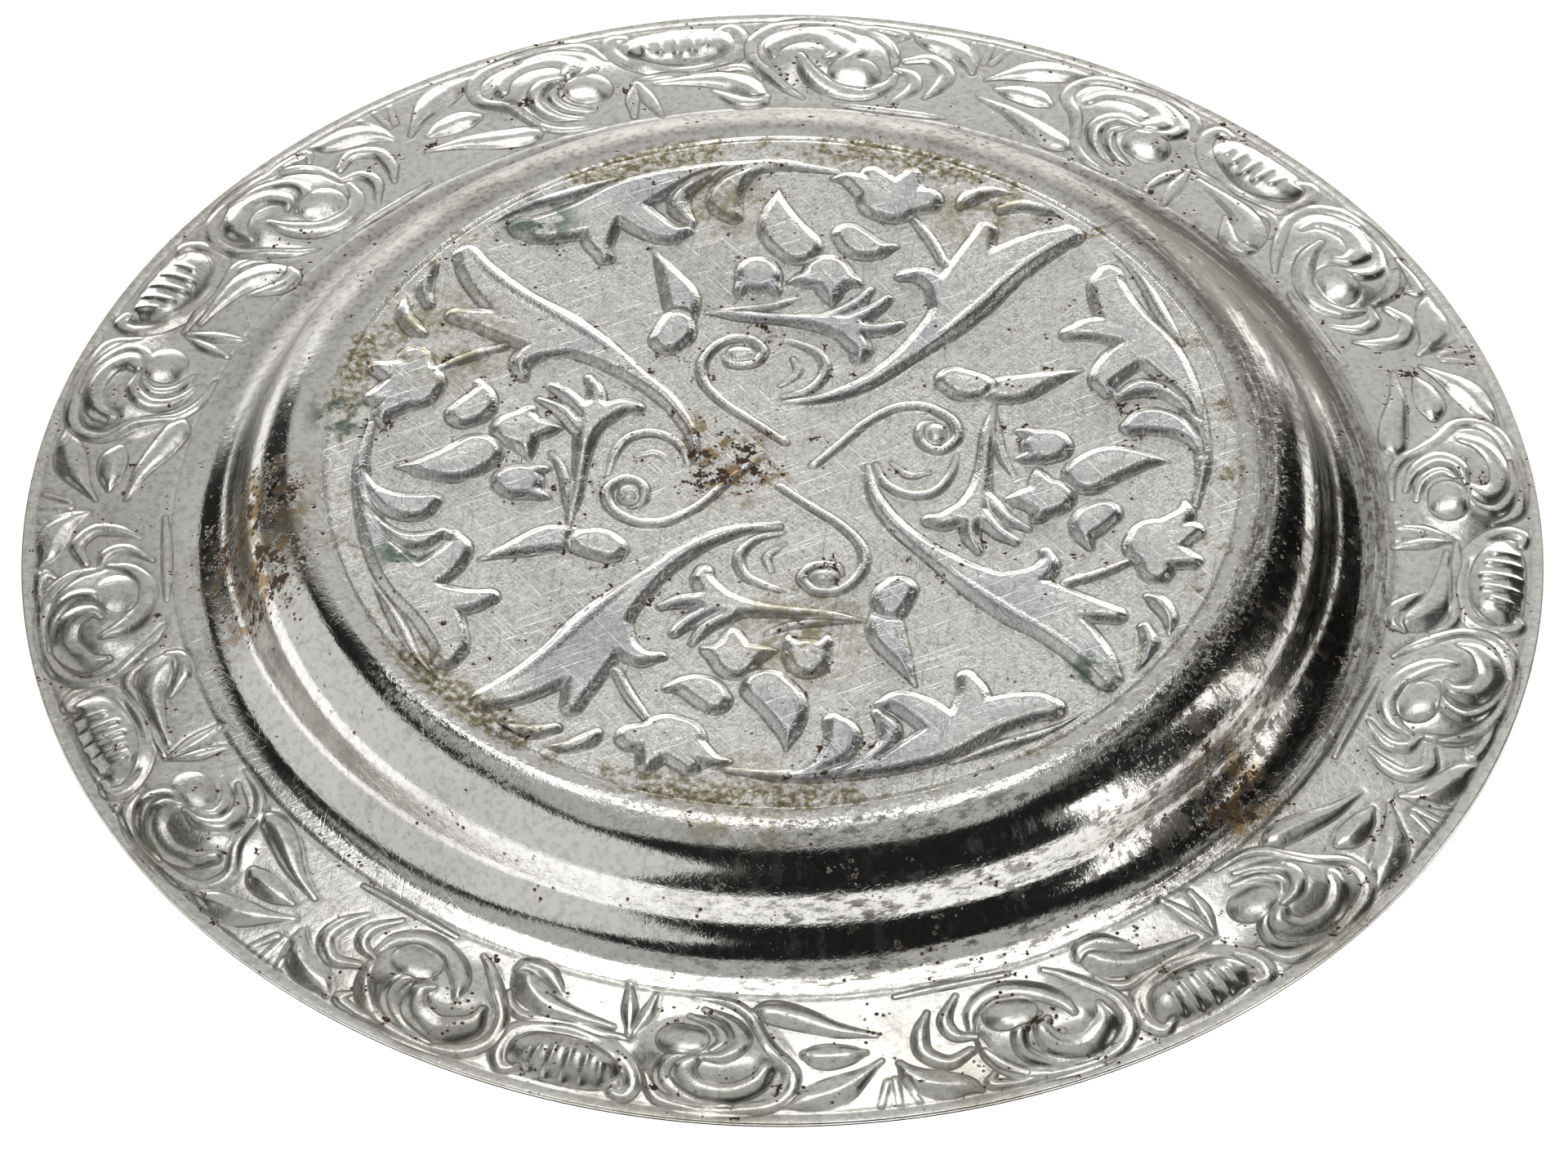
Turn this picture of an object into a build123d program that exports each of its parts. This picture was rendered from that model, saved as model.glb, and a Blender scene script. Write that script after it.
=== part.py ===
"""Offering plate, pressed from one sheet of plated metal.

The plate lies with its raised centre up and rests on the edge of its rim.
Origin: centre of the resting plane, at the middle of the plate.
+Z is up, out of the raised centre. +X and +Y lie in the resting plane.
Millimetres.
"""
import os
from math import cos, hypot, radians, sin, tan

from build123d import *

os.makedirs("parts", exist_ok=True)

# ---- driving dimensions -------------------------------------------------
plate_diameter = 150.0       # over the rim
plate_height = 12.2          # resting plane to the ground of the centre field
sheet_thickness = 0.5        # one gauge all over, before and after pressing

border_width = 1.3           # flat plain border at the edge, which rests
ornament_width = 13.4        # ornamented band of the rim
plain_width = 1.8            # plain ring between the ornament and the wall
foot_run = 4.0               # run of the tight bend at the wall's foot
shoulder_run = 4.8           # run of the round shoulder
wall_lean = 3.5              # run of the steep wall between the two bends
rim_rise = 1.3               # how far the rim climbs from border to wall foot

relief_height = 0.5          # how far the ornament is pressed up
relief_draft = 0.35          # the hollow behind is this much smaller all round
field_margin = 3.1           # plain border of the centre field
edge_radius = 0.15           # worn arris of the cut edge
wall_fill = 0.95             # most of the wall's slant that its two bends may take

rim_repeats = 7
field_repeats = 4

# ---- worked out ----------------------------------------------------------
plate_radius = plate_diameter / 2
border_inner = plate_radius - border_width
ornament_inner = border_inner - ornament_width
wall_foot = ornament_inner - plain_width
foot_corner = wall_foot - foot_run
shoulder_corner = foot_corner - wall_lean
field_radius = shoulder_corner - shoulder_run
ground_top = plate_height
ground_under = plate_height - sheet_thickness
rim_slope = rim_rise / (border_inner - wall_foot)


def rim_under(radius):
    """Height of the rim's underside at a radius: a shallow cone."""
    return (border_inner - radius) * rim_slope


def bend_radius(before, corner, after, reach):
    """Radius of a bend whose tangents reach this far from its corner."""
    inward = Vector(before[0] - corner[0], before[1] - corner[1])
    outward = Vector(after[0] - corner[0], after[1] - corner[1])
    half_turn = radians(180 - inward.get_angle(outward)) / 2
    return reach / tan(half_turn)


# ---- outlines of the pressed ornament -------------------------------------
# Rim leaves and bosses: places are (share of the repeat, share of the band).
rim_bosses = [(0.34, 0.52), (0.87, 0.52)]
rim_boss_share = 0.44
rim_leaves = [
    ((0.01, 0.55), (0.22, 0.62), 0.62),    # shell cartouche
    ((0.44, 0.92), (0.60, 0.48), 0.34),    # leaf into the fork
    ((0.61, 0.48), (0.74, 0.94), 0.34),    # leaf out of the fork
    ((0.58, 0.16), (0.76, 0.14), 0.26),    # ribbon leaf
]

# Centre field: places are shares of the ornamented radius, outward is -Y.
field_bosses = [
    ((-0.12, -0.59), 0.07),    # tulip
    ((0.06, -0.60), 0.07),     # tulip
    ((-0.25, -0.86), 0.10),    # flower
    ((0.08, -0.31), 0.10),     # scroll
]
field_leaves = [
    ((-0.13, -0.14), (-0.70, -0.74), 0.17),    # stem leaf
    ((-0.30, -0.44), (0.17, -0.49), 0.15),     # palmette
    ((0.22, -0.38), (0.30, -0.72), 0.13),      # tall bud
    ((-0.10, -0.64), (0.01, -0.90), 0.16),     # teardrop
    ((-0.37, -0.68), (-0.13, -0.76), 0.12),    # small leaf
    ((0.10, -0.78), (0.12, -0.97), 0.10),      # crescent
    ((0.34, -0.80), (0.64, -0.74), 0.15),      # side leaf, long lobe
    ((0.36, -0.74), (0.42, -0.62), 0.09),      # side leaf, short lobe
]


def leaf_outline(tail, tip, width):
    """A leaf: two equal arcs from tail to tip, as wide as given."""
    start = Vector(*tail)
    end = Vector(*tip)
    along = (end - start).normalized()
    bulge = Vector(-along.Y, along.X) * (width / 2)
    centre = (start + end) * 0.5
    with BuildSketch() as outline:
        with BuildLine():
            ThreePointArc(start, centre + bulge, end)
            ThreePointArc(end, centre - bulge, start)
        make_face()
    return outline.sketch


def rim_place(along, across):
    """A place on the rim, in shares of the repeat and of the band."""
    radius = ornament_inner + across * ornament_width
    angle = radians(90 - along * 360 / rim_repeats)
    return (radius * cos(angle), radius * sin(angle))


def rim_ornament(inset):
    """One repeat of the rim, each outline smaller all round by the inset."""
    with BuildSketch() as repeat:
        for place in rim_bosses:
            with Locations(rim_place(*place)):
                Circle(rim_boss_share * ornament_width - inset)
        for tail, tip, share in rim_leaves:
            width = share * ornament_width - 2 * inset
            add(leaf_outline(rim_place(*tail), rim_place(*tip), width))
    return repeat.sketch


def field_ornament(inset):
    """One quarter of the centre field, each outline smaller by the inset."""
    unit = field_radius - field_margin
    with BuildSketch() as quarter:
        for (x, y), share in field_bosses:
            with Locations((x * unit, y * unit)):
                Circle(share * unit - inset)
        for tail, tip, share in field_leaves:
            start = (tail[0] * unit, tail[1] * unit)
            end = (tip[0] * unit, tip[1] * unit)
            add(leaf_outline(start, end, share * unit - 2 * inset))
    return quarter.sketch


# ---- pressed ornament: raised pads, and the hollows behind them ------------
def rim_layer(bottom, top):
    """A ring over the ornamented band, between two heights above its underside."""
    low_inner = rim_under(ornament_inner) + bottom
    high_inner = rim_under(ornament_inner) + top
    low_outer = rim_under(border_inner) + bottom
    high_outer = rim_under(border_inner) + top
    with BuildPart() as layer:
        with BuildSketch(Plane.XZ):
            with BuildLine():
                Polyline(
                    (ornament_inner, low_inner),
                    (border_inner, low_outer),
                    (border_inner, high_outer),
                    (ornament_inner, high_inner),
                    close=True,
                )
            make_face()
        revolve(axis=Axis.Z)
    return layer.part


def rim_relief(inset, bottom, top):
    """The rim's ornament, all repeats, as thick as the layer it stands in."""
    with BuildPart() as relief:
        with BuildSketch(Plane.XY.offset(-plate_height)):
            with PolarLocations(0, rim_repeats):
                add(rim_ornament(inset))
        extrude(amount=2 * plate_height)
        add(rim_layer(bottom, top), mode=Mode.INTERSECT)
    return relief.part


def field_relief(inset, bottom, top):
    """The centre field's ornament, all four quarters, between two heights."""
    with BuildPart() as relief:
        with BuildSketch(Plane.XY.offset(bottom)):
            with PolarLocations(0, field_repeats):
                add(field_ornament(inset))
        extrude(amount=top - bottom)
    return relief.part


rim_pads = rim_relief(0, sheet_thickness / 2, sheet_thickness + relief_height)
rim_hollows = rim_relief(relief_draft, -plate_height, relief_height)
field_pads = field_relief(0, ground_under, ground_top + relief_height)
field_hollows = field_relief(relief_draft, 0, ground_under + relief_height)

# ---- the plate ---------------------------------------------------------------
middle = (0, ground_under)
shoulder = (shoulder_corner, ground_under)
foot = (foot_corner, rim_under(foot_corner))
border_corner = (border_inner, 0)
resting_edge = (plate_radius, 0)
wall_slant = hypot(shoulder[0] - foot[0], shoulder[1] - foot[1])
bend_fit = min(1.0, wall_fill * wall_slant / (shoulder_run + foot_run))
shoulder_bend = bend_radius(middle, shoulder, foot, shoulder_run * bend_fit)
foot_bend = bend_radius(shoulder, foot, border_corner, foot_run * bend_fit)

with BuildPart() as plate:
    with BuildSketch(Plane.XZ):
        with BuildLine():
            bends = [shoulder_bend, foot_bend]
            FilletPolyline(middle, shoulder, foot, border_corner, radius=bends)
            Line(border_corner, resting_edge)
            offset(amount=sheet_thickness, side=Side.LEFT)
        make_face()
    revolve(axis=Axis.Z)
    add(rim_pads)
    add(field_pads)
    add(rim_hollows, mode=Mode.SUBTRACT)
    add(field_hollows, mode=Mode.SUBTRACT)
    edges = plate.edges().filter_by(GeomType.CIRCLE)
    outer = edges.filter_by(lambda edge: edge.radius > plate_radius - edge_radius)
    fillet(outer, edge_radius)

plate.part.label = "plate"
export_step(plate.part, "parts/plate.step")
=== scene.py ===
"""Offering plate: the pressed sheet with its ornament, its worn plating, and the studio.

Shapes are worked out in millimetres and written to the meshes in metres.
Angles round the plate run clockwise from +Y, seen from above.
"""
import math

import bpy
import numpy as np
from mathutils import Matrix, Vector


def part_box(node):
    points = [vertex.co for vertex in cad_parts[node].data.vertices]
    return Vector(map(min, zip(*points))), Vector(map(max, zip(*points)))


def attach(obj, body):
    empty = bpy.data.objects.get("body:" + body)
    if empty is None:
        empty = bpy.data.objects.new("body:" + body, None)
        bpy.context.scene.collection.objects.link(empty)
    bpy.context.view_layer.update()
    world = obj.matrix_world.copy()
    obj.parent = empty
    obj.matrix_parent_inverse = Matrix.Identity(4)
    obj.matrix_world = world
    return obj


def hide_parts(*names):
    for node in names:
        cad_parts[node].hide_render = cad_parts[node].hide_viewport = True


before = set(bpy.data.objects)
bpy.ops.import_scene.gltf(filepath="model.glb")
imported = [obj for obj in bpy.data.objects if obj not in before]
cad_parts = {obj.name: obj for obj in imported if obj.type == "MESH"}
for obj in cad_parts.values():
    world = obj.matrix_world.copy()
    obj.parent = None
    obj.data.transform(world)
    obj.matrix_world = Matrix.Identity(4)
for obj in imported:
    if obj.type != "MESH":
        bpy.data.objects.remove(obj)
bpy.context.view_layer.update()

bl_info = {
    "name": "Offering plate",
    "version": (1, 0, 0),
    "blender": (4, 5, 0),
    "location": "View3D > Sidebar > Plate",
    "description": "Builds a pressed and plated offering plate and its studio",
    "category": "Add Mesh",
}

MM = 0.001
PLATE_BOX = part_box("plate")
PLATE_RADIUS = PLATE_BOX[1].x

RIM_REPEATS = 7
FIRST_REPEAT = 36.0        # degrees from +Y to the first repeat's start
REPEAT_ANGLE = 360.0 / RIM_REPEATS
FIELD_REPEATS = 4
SOFT_PASSES = 4
SPARE = 5                  # rows round a grid that are worked out and then cut off

# ---- sizes, colours and studio ----


def length(name, description, millimetres):
    """A length that the user may change, given here in millimetres."""
    return bpy.props.FloatProperty(
        name=name, description=description, default=millimetres * MM, unit="LENGTH", precision=5
    )


def colour(name, description, value):
    """A colour that the user may change."""
    return bpy.props.FloatVectorProperty(
        name=name, description=description, default=value, size=3, subtype="COLOR", min=0, max=1
    )


def amount(name, description, value, top=10.0):
    """A plain number that the user may change."""
    return bpy.props.FloatProperty(
        name=name, description=description, default=value, min=0, max=top
    )


class PlateSizes(bpy.types.PropertyGroup):
    """Sizes of the pressed sheet."""

    radius: length("Radius", "Middle of the plate to its cut edge", PLATE_RADIUS / MM)
    ground: length("Ground height", "Resting plane to the ground of the centre", 12.2)
    sheet: length("Sheet", "Gauge of the pressed sheet", 0.5)
    border: length("Border", "Width of the flat border that rests", 1.3)
    wall_foot: length("Wall foot", "Middle of the plate to where the rim starts to turn up", 58.5)
    foot_run: length("Foot bend", "Run of the bend at the foot of the wall", 4.0)
    shoulder_run: length("Shoulder bend", "Run of the bend at the top of the wall", 4.8)
    wall_lean: length("Wall lean", "Run of the steep wall between its two bends", 3.5)
    rim_rise: length("Rim rise", "How far the rim climbs to the foot of the wall", 1.3)
    arris: length("Arris", "Round of the cut edge", 0.15)
    field: length("Field", "Radius that the centre ornament fills", 42.7)
    waviness: length("Waviness", "Unevenness of the old sheet", 0.05)


class PlateFinish(bpy.types.PropertyGroup):
    """Colours of the worn plating."""

    metal: colour("Metal", "Bare plating", (0.88, 0.865, 0.82))
    cool: colour("Cool metal", "Polished tops of the ornament", (0.63, 0.67, 0.72))
    # Tarnish: dull film in the hollows; the same colour is also laid as painted shade on the far side of
    # the wall
    tarnish_and_shade: colour("Tarnish", "Dull film in the hollows", (0.19, 0.175, 0.15))
    rust: colour("Rust", "Spots where the plating broke", (0.10, 0.055, 0.026))
    ochre: colour("Ochre", "Thin rust bloom", (0.33, 0.20, 0.065))
    olive: colour("Olive", "Old oil film", (0.34, 0.305, 0.16))
    verdigris: colour("Verdigris", "Green in the creases", (0.05, 0.13, 0.09))
    polish: amount("Roughness", "Roughness of the polished wall", 0.09, 1.0)


class PlateStudio(bpy.types.PropertyGroup):
    """Camera and light."""

    elevation: bpy.props.FloatProperty(
        name="Camera elevation", description="Height of the view over the table",
        default=math.radians(46.9), subtype="ANGLE",
    )
    distance: length("Camera distance", "Middle of the plate to the camera", 1275.0)
    lens: amount("Lens", "Focal length in millimetres", 297.6, 1000.0)
    daylight: amount("Daylight", "Strength of every panel", 1.0)
    floor: colour("Floor", "Pale tabletop", (0.92, 0.92, 0.92))


def millimetres(group):
    """The sizes as plain numbers of millimetres, by name."""
    return {key: getattr(group, key) / MM for key in group.__annotations__}


# ---- section of the sheet ----

BORDER_BEND = 0.6          # run of the slight bend between the rim and its border
SECTION_STEP = 0.01        # between two rows of the section's tables


def section(sizes):
    """Underside of the sheet as fine tables over its arc length from the middle.

    Straight runs between corners, each corner taken by an arc whose tangents
    reach a given way along both runs. The direction is constant on a run and
    turns evenly on an arc, so place is the running sum of its cosine and sine.
    """
    under = sizes["ground"] - sizes["sheet"]
    border_inner = sizes["radius"] - sizes["border"]
    slope = sizes["rim_rise"] / (border_inner - sizes["wall_foot"])
    foot = sizes["wall_foot"] - sizes["foot_run"]
    shoulder = foot - sizes["wall_lean"]
    corners = np.array([
        (0.0, under),
        (shoulder, under),
        (foot, (border_inner - foot) * slope),
        (border_inner, 0.0),
        (sizes["radius"], 0.0),
    ])
    reach = np.array([0.0, sizes["shoulder_run"], sizes["foot_run"], BORDER_BEND, 0.0])
    run = np.diff(corners, axis=0)
    run_length = np.hypot(run[:, 0], run[:, 1])
    heading = np.arctan2(run[:, 1], run[:, 0])
    turn = np.diff(heading)
    arc = np.abs(turn) * reach[1:-1] / np.tan(np.abs(turn) / 2)
    straight = run_length - reach[:-1] - reach[1:]
    pieces = np.empty(len(straight) + len(arc))
    pieces[0::2] = straight
    pieces[1::2] = arc
    breaks = np.concatenate([[0.0], np.cumsum(pieces)])
    along = np.arange(0.0, breaks[-1] + SECTION_STEP / 2, SECTION_STEP)
    direction = np.interp(along, breaks, np.repeat(heading, 2))
    step = np.gradient(along)
    middle = (direction[1:] + direction[:-1]) / 2
    radius = np.concatenate([[0.0], np.cumsum(np.cos(middle) * step[1:])])
    height = under + np.concatenate([[0.0], np.cumsum(np.sin(middle) * step[1:])])
    radius *= sizes["radius"] / radius[-1]
    return {"along": along, "radius": radius, "height": height, "direction": direction}


def arc_length(table, radius):
    """Arc length along the section at which it reaches a radius."""
    return np.interp(radius, table["radius"], table["along"])


def smooth(low, high, value):
    """Eases from 0 at low to 1 at high."""
    share = np.clip((value - low) / (high - low), 0, 1)
    return share * share * (3 - 2 * share)


def waviness(x, y, depth):
    """Slow dents of the old sheet: a sum of eight plane waves, 14 to 40 mm long."""
    draw = np.random.default_rng(11)
    total = np.zeros_like(x)
    for _ in range(8):
        heading = draw.uniform(0, math.tau)
        wave = math.tau / draw.uniform(14, 40)
        shift = draw.uniform(0, math.tau)
        total += np.sin((x * math.cos(heading) + y * math.sin(heading)) * wave + shift)
    return depth * total / math.sqrt(8)


# ---- strokes of the ornament ----
# A style gives, in millimetres: lift over the ground, width of the bevelled edge,
# dish of the middle, and depth of the crease pressed round it.
STYLES = {
    "leaf": (0.57, 0.95, 0.08, 0.04),
    "petal": (0.54, 0.88, 0.04, 0.04),
    "bead": (0.40, 0.72, 0.00, 0.04),
    "vine": (0.25, 0.50, 0.00, 0.06),
    "wire": (0.26, 0.52, 0.00, 0.03),
    "ball": (0.50, 2.00, 0.00, 0.04),
    "plaque": (0.24, 0.90, 0.04, 0.04),
    "swell": (0.72, 4.60, 0.00, 0.00),
}
# These are raised on what is already there: lift, and width of the rounded edge.
DETAILS = {
    "ridge": (0.22, 0.42),
    "rib": (0.18, 0.30),
}
CREASE_WIDTH = 0.20        # of the crease that follows every outline
CREASE_OUTSIDE = 0.06      # how far outside the outline it lies
FRINGE_WIDTH = 0.9         # how far round a shape the plating suffers
STROKE_REACH = 1.6         # beyond this a shape no longer touches its surroundings

RIM_SHARE = 0.60           # height of the rim's ornament as a share of its style's
RIM_SOFT = 1.7             # width of its bevels likewise, so that it looks pillowy
RIM_LINES = ((0.803, 0.08, 0.22), (0.984, 0.10, 0.26))    # share of radius, depth, width

# Rim: degrees within the repeat, share of the plate's radius, width share.
RIM_SWELLS = [
    ("swell", [(16.6, .905, .135), (19.0, .905, .14), (21.6, .903, .135)]),
    ("swell", [(44.2, .905, .135), (46.5, .905, .14), (49.0, .903, .135)]),
    ("swell", [(4.5, .935, .07), (7.0, .935, .075), (9.5, .935, .07)]),
]
RIM_STROKES = [
    # shell cartouche: plaque, frame, fan
    ("plaque", [(2.6, .962, .02), (3.4, .945, .05), (5.0, .94, .07), (7.0, .938, .075), (9.0, .943, .065),
        (10.2, .955, .04), (10.6, .965, .02)]),
    ("vine", [(2.6, .972, .014), (1.6, .974, .02), (1.2, .952, .022), (2.2, .922, .022), (4.5, .897, .022),
        (7.5, .889, .022), (10.5, .9, .022), (12.0, .926, .022), (12.0, .955, .022), (11.2, .973, .018),
        (10.2, .966, .012)]),
    ("rib", [(3.7, .966, .006), (3.9, .935, .009)]),
    ("rib", [(5.0, .968, .007), (5.1, .925, .01)]),
    ("rib", [(6.4, .97, .007), (6.5, .918, .01)]),
    ("rib", [(7.8, .969, .007), (7.8, .92, .01)]),
    ("rib", [(9.2, .965, .006), (9.0, .93, .009)]),
    # leaves hanging under the cartouche
    ("vine", [(2.5, .885, .006), (5.0, .884, .012), (7.5, .877, .014), (10.0, .884, .014),
        (11.5, .889, .014), (12.8, .879, .012), (13.5, .86, .005)]),
    ("leaf", [(4.0, .872, .008), (7.0, .868, .02), (10.0, .862, .035), (12.0, .845, .045),
        (12.9, .825, .036)]),
    ("leaf", [(9.0, .842, .006), (10.2, .826, .018), (11.6, .812, .026), (13.2, .812, .022),
        (14.0, .826, .008)]),
    ("vine", [(2.3, .88, .006), (1.5, .845, .018), (1.1, .81, .008)]),
    ("vine", [(2.5, .88, .006), (3.0, .842, .02), (3.7, .802, .008)]),
    # first roundel
    ("vine", [(17.3, .822, .006), (16.0, .838, .012), (14.5, .864, .016), (12.9, .903, .016),
        (13.1, .945, .018), (15.3, .974, .02), (19.0, .98, .02), (22.5, .968, .02), (24.6, .935, .018),
        (25.2, .895, .008)]),
    ("leaf", [(14.6, .902, .01), (14.9, .932, .03), (17.2, .953, .038), (19.4, .942, .036),
        (20.0, .913, .022), (19.2, .9, .008)]),
    ("petal", [(17.0, .974, .004), (20.0, .964, .014), (22.0, .938, .02), (21.7, .905, .018),
        (19.6, .888, .006)]),
    ("leaf", [(17.0, .903, .01), (17.7, .872, .026), (19.5, .846, .03), (22.5, .836, .028),
        (24.8, .855, .02), (25.5, .886, .008)]),
    ("ball", [(21.2, .874, .05), (22.4, .874, .054)]),
    ("petal", [(25.3, .895, .008), (26.9, .886, .018), (27.3, .86, .018), (25.7, .826, .006)]),
    ("petal", [(26.0, .915, .012), (28.0, .926, .02), (29.7, .905, .022), (29.6, .874, .02),
        (28.6, .844, .006)]),
    # leaves in the fork between the roundels
    ("petal", [(21.4, .979, .006), (23.6, .977, .014), (25.3, .97, .016), (24.8, .955, .006)]),
    ("wire", [(22.5, .965, .008), (24.0, .945, .012), (25.0, .92, .006)]),
    ("leaf", [(31.8, .915, .008), (30.8, .943, .034), (29.0, .958, .042), (27.2, .964, .026),
        (26.2, .975, .008)]),
    ("leaf", [(33.2, .908, .006), (35.0, .93, .022), (37.0, .95, .044), (39.0, .96, .034),
        (41.2, .972, .005)]),
    ("wire", [(30.9, .977, .008), (31.6, .942, .01)]),
    ("wire", [(32.4, .98, .008), (32.4, .94, .01)]),
    ("wire", [(33.8, .977, .008), (33.0, .942, .01)]),
    ("petal", [(34.4, .893, .008), (36.0, .895, .03), (37.8, .896, .038), (39.2, .892, .016)]),
    ("leaf", [(33.3, .868, .006), (36.5, .855, .022), (39.5, .836, .036), (42.0, .825, .036),
        (43.6, .825, .01)]),
    ("wire", [(20.5, .812, .006), (24.0, .808, .012), (28.0, .808, .012), (31.0, .812, .006)]),
    # second roundel
    ("vine", [(49.0, .805, .006), (46.0, .811, .012), (44.0, .83, .014), (43.0, .858, .014),
        (42.0, .886, .016), (40.3, .918, .018), (40.8, .955, .018), (43.0, .975, .02), (47.0, .981, .02),
        (50.5, .97, .018), (52.0, .935, .008)]),
    ("leaf", [(42.3, .918, .02), (43.2, .941, .026), (45.3, .956, .028), (47.8, .953, .034),
        (49.0, .93, .036), (48.2, .91, .018)]),
    ("petal", [(45.0, .973, .005), (48.0, .969, .014), (50.4, .945, .02), (50.3, .915, .018),
        (48.3, .897, .006)]),
    ("petal", [(47.6, .906, .008), (45.7, .902, .02), (44.5, .875, .025), (45.5, .845, .02),
        (48.0, .825, .006)]),
    ("petal", [(46.9, .893, .006), (46.0, .875, .016), (46.9, .85, .016), (49.2, .837, .006)]),
    ("ball", [(48.8, .878, .048), (49.9, .878, .052)]),
]

# Centre field: shares of the ornamented radius, x to the right, y outward.
FIELD_STROKES = [
    # stem leaf with its lobes
    ("leaf",
     [(-.005, .197, .012), (-.1, .212, .03), (-.2, .265, .045), (-.29, .35, .06),
      (-.37, .44, .1), (-.43, .53, .14), (-.5, .62, .13), (-.6, .7, .1), (-.67, .735, .07)],
     [(-.42, .58, .12), (-.45, .67, .09), (-.475, .755, .055)],
     [(-.38, .5, .08), (-.36, .57, .07), (-.32, .605, .055), (-.275, .6, .028)]),
    ("ridge", [(0, .187, .014), (-.147, .217, .018), (-.26, .295, .018), (-.35, .38, .018),
        (-.42, .462, .018), (-.567, .635, .018), (-.646, .7, .018), (-.7, .735, .012)]),
    ("petal", [(-.68, .8, .01), (-.62, .82, .034), (-.56, .832, .044), (-.51, .82, .03)]),
    ("petal", [(-.535, .878, .01), (-.48, .877, .038), (-.435, .855, .048), (-.415, .83, .02)]),
    # scrolls
    ("bead", [(-.006, .07, .02), (.06, .13, .022), (.13, .19, .024), (.18, .26, .026), (.183, .33, .026),
        (.14, .39, .026), (.08, .4, .026), (.045, .36, .026), (.07, .32, .026), (.12, .32, .022),
        (.135, .345, .012)]),
    ("ball", [(.085, .352, .045), (.105, .352, .05)]),
    ("bead", [(0, .215, .012), (-.06, .235, .022), (-.098, .29, .026), (-.085, .35, .026),
        (-.03, .385, .02), (.03, .4, .01)]),
    ("wire", [(.005, .25, .01), (-.035, .29, .02), (-.025, .335, .012)]),
    # palmette
    ("petal", [(-.035, .53, .012), (.02, .505, .022), (.1, .492, .022), (.18, .49, .006)]),
    ("leaf",
     [(.19, .488, .006), (.1, .472, .03), (0, .462, .036), (-.09, .45, .06), (-.16, .43, .09)],
     [(-.15, .42, .07), (-.18, .37, .058), (-.178, .338, .044)],
     [(-.17, .43, .05), (-.23, .43, .044), (-.275, .447, .022)],
     [(-.15, .45, .05), (-.21, .49, .044), (-.245, .53, .026)],
     [(-.11, .47, .04), (-.17, .51, .038), (-.205, .56, .018)]),
    # tulips
    ("leaf",
     [(-.115, .6, .11), (-.105, .615, .115)],
     [(-.13, .6, .07), (-.165, .585, .04), (-.182, .572, .01)],
     [(-.11, .58, .08), (-.112, .54, .05), (-.114, .51, .012)],
     [(-.09, .6, .08), (-.05, .59, .05), (-.015, .582, .01)]),
    ("leaf",
     [(.057, .615, .105), (.055, .6, .11)],
     [(.03, .59, .05), (.017, .555, .03), (.014, .535, .01)],
     [(.057, .59, .06), (.06, .555, .016)],
     [(.082, .59, .05), (.098, .555, .03), (.104, .535, .01)]),
    # small bud and teardrop
    ("leaf", [(-.262, .7, .02), (-.22, .69, .06), (-.18, .705, .095), (-.155, .735, .085)]),
    ("leaf", [(-.035, .7, .12), (0, .75, .115), (.012, .82, .065), (.008, .885, .008)]),
    # flower on its stem
    ("bead", [(-.375, .645, .026), (-.345, .72, .03), (-.3, .8, .02)]),
    ("leaf",
     [(-.26, .84, .13), (-.235, .85, .13)],
     [(-.28, .84, .09), (-.335, .85, .085)],
     [(-.28, .87, .1), (-.305, .935, .05)],
     [(-.24, .88, .1), (-.21, .935, .06)],
     [(-.22, .87, .09), (-.16, .92, .05), (-.12, .92, .015)]),
    # tall bud
    ("leaf", [(.235, .46, .07), (.235, .53, .09), (.262, .6, .06), (.3, .69, .008)]),
    ("leaf", [(.265, .395, .09), (.25, .42, .1), (.245, .45, .085)]),
    # sweep along the border, with its three-lobed leaf
    ("leaf",
     [(-.13, .945, .016), (0, .965, .035), (.12, .955, .05), (.25, .92, .08), (.36, .86, .12),
      (.46, .79, .12), (.56, .755, .095), (.605, .76, .07)],
     [(.42, .8, .1), (.43, .72, .08), (.415, .665, .05)],
     [(.37, .83, .1), (.32, .775, .095), (.265, .74, .07), (.225, .75, .035)]),
    ("petal", [(.115, .8, .05), (.135, .84, .085), (.125, .89, .075), (.08, .94, .04), (.02, .962, .012)]),
    ("petal", [(.212, .775, .025), (.24, .82, .055), (.235, .87, .05), (.19, .92, .03),
        (.135, .955, .008)]),
    ("bead", [(.38, .925, .01), (.49, .875, .036), (.6, .83, .026), (.7, .765, .008)]),
]


def stroke_line(points, per_span=6):
    """A smooth line through (x, y, width) points: cubic spans whose tangents
    are half the way between the neighbours."""
    knots = np.array([points[0]] + list(points) + [points[-1]], float)
    knots[0] = 2 * knots[1] - knots[2]
    knots[-1] = 2 * knots[-2] - knots[-3]
    knots[[0, -1], 2] = knots[[1, -2], 2]
    share = np.linspace(0, 1, per_span, endpoint=False)[:, None]
    spans = []
    for a, b, c, d in zip(knots, knots[1:], knots[2:], knots[3:]):
        spans.append(0.5 * (
            2 * b + (c - a) * share + (2 * a - 5 * b + 4 * c - d) * share ** 2
            + (3 * b - a - 3 * c + d) * share ** 3
        ))
    spans.append(knots[-2][None, :])
    return np.concatenate(spans)


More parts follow.
